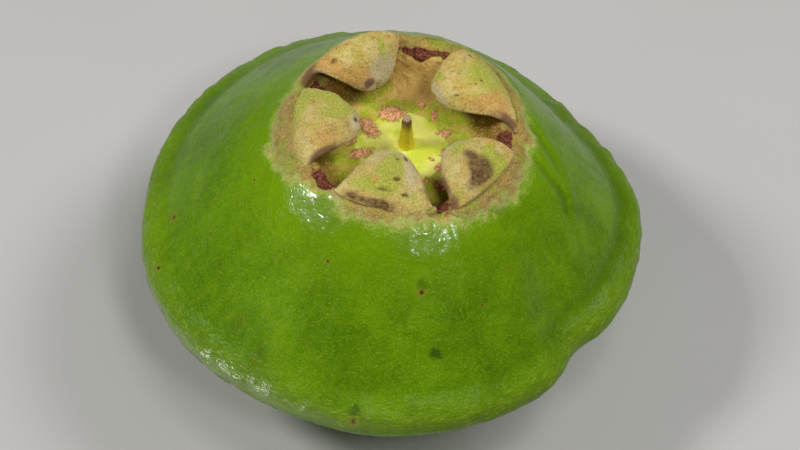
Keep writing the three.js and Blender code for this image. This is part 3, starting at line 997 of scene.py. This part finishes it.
def cup_colour(disc, cork, tan, cavity_shade):
    """Colour inside the cup: green and tan granules, painted brown shade under the sepals, yellow
    disc, corky scars.
    """
    grains = skin_grains()
    floor = tint(CUP_GREEN, CUP_OLIVE, lumps(1.3, 3.0), 0.42, 0.6)
    floor = tint(floor, CUP_TAN, frayed(tan, 1.0, 0.9, 3.0), 0.75, 1.1)
    # Painted shade: the floor darkens to brown under the sepals' overhang.
    floor = mix(times(cavity_shade, 0.8), floor, CAVITY_SHADE)
    floor = tint(floor, FELT_PALE, grains, 0.52, 0.68, 0.6)
    floor = tint(floor, CORK_RED, grains, 0.44, 0.3, 0.4)
    yellow = tint(DISC_YELLOW, DISC_LIME, lumps(2.4), 0.42, 0.62)
    yellow = tint(yellow, CUP_GREEN, lumps(0.5), 0.6, 0.75, 0.3)
    floor = tint(floor, yellow, frayed(disc, 0.5, 0.6, 3.0), 0.55, 0.95)
    ragged = frayed(cork, 1.4, 0.45, 4.0, 0.7)
    floor = tint(floor, CORK_EDGE, ragged, 1.0, 1.16, 0.75)
    scar = tint(CORK_RED, CORK_PINK, lumps(0.3, 3.0), 0.4, 0.56)
    return tint(floor, scar, ragged, 1.12, 1.26)


def raw_colour():
    """Colour of the raw flesh between the sepals."""
    raw = tint(MAROON_DARK, MAROON, lumps(0.4, 3.0), 0.36, 0.6)
    return tint(raw, CORK_RED, skin_grains(), 0.52, 0.68, 0.55)


def skin_material():
    """Waxy green skin that turns to felt at the collar and to the granular cup inside it."""
    new_material("cambuci_skin")
    lip, groove, fold, felt, cup, bare = masks_of("lip", "groove", "fold", "felt", "cup",
                                                  "bare")
    disc, cork, tan, inward, gloss, cavity_shade = masks_of("disc", "cork", "tan", "inward",
                                                      "gloss", "cavity_shade")
    skin = felted(green_skin(lip, groove, inward, fold), felt)
    skin = mix(cup, skin, cup_colour(disc, cork, tan, cavity_shade))
    raw_share = frayed(bare, 0.9, 0.9, 4.0, 0.65)
    skin = tint(skin, raw_colour(), raw_share, 0.76, 1.0)

    # Felt and cup are dull, the disc is half glossy, and the skin has a waxy gloss.
    dull = math_node("MULTIPLY_ADD", disc, -0.45, math_node("MAXIMUM", felt, cup))
    roughness = ramp(lumps(1.2, 3.0), 0.3, 0.7, 0.24, 0.33)
    roughness = math_node("ADD", roughness, ramp(inward, -5.0, -9.0, -0.08, 0.0))
    roughness = math_node("MULTIPLY_ADD", dull, 0.45, roughness)
    on_lip = times(lip, 0.9)
    normal = bump(lumps(0.95, 3.0, 0.6, 0.5), 0.12)
    normal = bump(strands(0.9, 0.28, 3.0), 0.16, normal, on_lip)
    normal = bump(lumps(0.28, 3.0, 0.6), 0.035, normal)
    fine_share = math_node("MAXIMUM", dull, times(lip, 0.2))
    normal = bump(lumps(0.17, 3.0, 0.7), 0.14, normal, fine_share)
    # The wax has coarser ripples of its own, which break up its highlights.
    waxy = bump(lumps(0.75, 2.0, 0.5, 0.6), 0.075)
    waxy = bump(strands(1.0, 0.3, 3.0), 0.13, waxy, on_lip)
    return finish_material({
        "Base Color": skin,
        "Roughness": roughness,
        "Normal": normal,
        "Coat Weight": times(ramp(gloss, 0.1, 0.6), ramp(dull, 0.6, 0.2)),
        "Coat Normal": waxy,
        "Coat Roughness": 0.2,
        "Coat IOR": 1.9,
        "Specular IOR Level": 0.12,
        "Subsurface Weight": 0.06,
        "Subsurface Radius": (0.9, 1.2, 0.3),
        "Subsurface Scale": 1.0 * MM,
    })


def sepal_material():
    """Short tan felt over a yellow-green leaf, brown on its inner face."""
    new_material("cambuci_sepal_felt")
    green, orange, maroon, brown, grey, crease = masks_of("green", "orange", "maroon",
                                                          "brown", "grey", "crease")
    rim, inner, way, warm, thick, inward = masks_of("rim", "inner", "way", "warm", "felt",
                                                    "inward")
    hairs = hair_tips()
    ragged = math_node("MULTIPLY_ADD", hairs, 0.7,
                       times(lumps(0.6, 4.0, 0.7), 0.6))

    def patch(share, strength, low=0.95, high=1.5):
        """A painted mark with a ragged edge."""
        return times(ramp(math_node("ADD", share, ragged), low, high), strength)

    felt = clouded(mix(warm, FELT_PINK, FELT_TAN), SEPAL_CLOUDS)
    felt = mix(patch(grey, 0.9), felt, FELT_GREY)
    felt = mix(patch(green, 0.85), felt, FELT_GREEN)
    felt = mix(patch(orange, 0.8), felt, FELT_ORANGE)
    dots = times(ramp(cells(1.1), 0.1, 0.04),
                 ramp(lumps(2.0), 0.5, 0.6), 0.7)
    felt = mix(dots, felt, FELT_BROWN)
    fringe = times(ramp(rim, 0.2, 0.9), ramp(hairs, 0.4, 0.58), 0.8)
    felt = mix(fringe, felt, FELT_PALE)
    felt = felt_grain(felt, 0.5, 0.4)
    blotch = tint(FELT_BROWN, BLOTCH_DARK, lumps(0.6, 3.0, 0.6), 0.36, 0.66)
    broken = ramp(lumps(0.35, 3.0, 0.7), 0.25, 0.6, 0.55, 0.95)
    felt = mix(patch(brown, broken, 0.8, 1.8), felt, blotch)
    felt = mix(patch(maroon, 0.85, 0.9, 1.6), felt, FELT_MAROON)
    collar = felted(green_skin(0.0, 0.0, inward, 0.0), thick)
    felt = tint(felt, collar, way, 0.7, -0.5)
    # Painted shade: brown in the crease at each sepal's root.
    felt = mix(patch(crease, 0.8, 0.7, 1.4), felt, FELT_BROWN)
    felt = mix(times(inner, ramp(rim, 0.9, 0.5)), felt, INNER_OLIVE)
    return finish_material({
        "Base Color": felt,
        "Roughness": ramp(hairs, 0.3, 0.7, 0.75, 0.95),
        "Normal": bump(hairs, 0.16, bump(lumps(0.8, 3.0), 0.12)),
        "Specular IOR Level": 0.2,
        "Sheen Weight": 0.15,
        "Sheen Roughness": 0.5,
        "Sheen Tint": SHEEN_CREAM,
        "Subsurface Weight": 0.05,
        "Subsurface Scale": 1.0 * MM,
    })


def column_material(name, low, high, tip, share_low, share_high):
    """Dry stub: low colour at the foot, high colour above, and a different broken end."""
    new_material(name)
    height, = masks_of("height")
    ragged = frayed(height, 0.3, 0.4, 3.0)
    body = tint(low, high, ragged, share_low, share_high)
    body = tint(body, tip, lumps(0.25, 3.0), 0.5, 0.7, 0.5)
    return finish_material({
        "Base Color": tint(body, tip, height, 0.93, 0.97),
        "Roughness": ramp(lumps(0.5), 0.3, 0.7, 0.5, 0.75),
        "Normal": bump(lumps(0.18, 3.0), 0.08),
        "Specular IOR Level": 0.35,
    })


def floor_material():
    new_material("pale_floor")
    tone = mix(lumps(40.0), FLOOR_PALE, FLOOR_LIGHT)
    return finish_material({"Base Color": tone, "Roughness": 0.8, "Specular IOR Level": 0.2})


# ---- floor, lights and camera

FLOOR_HALF_METRES = 0.9
LIGHT_METRES = 0.5
# Name, direction from the fruit, size in metres and watts. The front light makes the highlight in
# front of the collar, and the rim light that at the lower left of the rim.
LIGHTS = [
    ("key", (-0.64, -0.02, 0.77), 0.11, 1.25),
    ("top", (0.157, -0.239, 0.957), 0.12, 0.45),
    ("right", (0.62, 0.12, 0.78), 0.2, 1.0),
    ("front", (0.235, -0.527, 0.812), 0.075, 0.45),
    ("rim", (-0.83, -0.55, 0.07), 0.06, 0.26),
]
WORLD_STRENGTH = 0.06
CAMERA_ELEVATION, CAMERA_DISTANCE = 54.5, 347.0
LENS, SENSOR = 140.0, 36.0
# The camera looks this far to the right of the rim's middle and below it, in mm.
AIM_RIGHT, AIM_BELOW = 1.12, 0.6


def make_floor():
    half = FLOOR_HALF_METRES
    mesh = bpy.data.meshes.new("floor")
    corners = [(-half, -half, 0), (half, -half, 0), (half, half, 0), (-half, half, 0)]
    mesh.from_pydata(corners, [], [(0, 1, 2, 3)])
    mesh.materials.append(floor_material())
    new_object("floor", mesh)


def face(thing, at, forward):
    """Puts a light or a camera at a place in metres, facing forward."""
    thing.location = at
    thing.rotation_euler = forward.to_track_quat("-Z", "Y").to_euler()


def make_light(name, direction, size, watts):
    """A round soft light that faces the middle of the fruit."""
    target = Vector((*STEM_AXIS, RIM_HEIGHT)) * MM
    data = bpy.data.lights.new(name, "AREA")
    data.shape = "DISK"
    data.size = size
    data.energy = watts
    towards = Vector(direction).normalized()
    face(new_object(name, data), target + towards * LIGHT_METRES, -towards)


def make_world():
    world = bpy.data.worlds.new("studio")
    world.use_nodes = True
    background = world.node_tree.nodes["Background"]
    background.inputs["Color"].default_value = (*WORLD_WHITE, 1.0)
    background.inputs["Strength"].default_value = WORLD_STRENGTH
    bpy.context.scene.world = world


def make_camera():
    """A long lens that looks down on the fruit from the front."""
    elevation = math.radians(CAMERA_ELEVATION)
    forward = Vector((0, math.cos(elevation), -math.sin(elevation)))
    up = Vector((0, math.sin(elevation), math.cos(elevation)))
    target = Vector((STEM_AXIS[0] + AIM_RIGHT, STEM_AXIS[1], RIM_HEIGHT)) - AIM_BELOW * up
    data = bpy.data.cameras.new("camera")
    data.lens = LENS
    data.sensor_width = SENSOR
    data.clip_start = 0.01
    camera = new_object("camera", data)
    face(camera, (target - CAMERA_DISTANCE * forward) * MM, forward)
    bpy.context.scene.camera = camera


make_camera()
make_floor()
for light in LIGHTS:
    make_light(*light)
make_world()
bpy.context.scene.view_settings.view_transform = "Standard"

make_fruit(skin_material())
felt = sepal_material()
for number, (sepal, marks) in enumerate(zip(SEPALS, SEPAL_MARKS), start=1):
    make_sepal(number, sepal, marks, felt)

make_column("style_stub", STYLE_RINGS, STYLE_AXIS, STYLE_BEND, 71,
            column_material("style", STYLE_OLIVE, STYLE_BROWN, STYLE_TIP, 0.7, 1.05),
            "style")
make_column("stalk_stub", STALK_RINGS, STEM_AXIS, (0, 0), 91,
            column_material("stalk", STALK_PALE, STALK_BROWN, STALK_BROWN, 0.2, 0.6),
            "stem_stub")
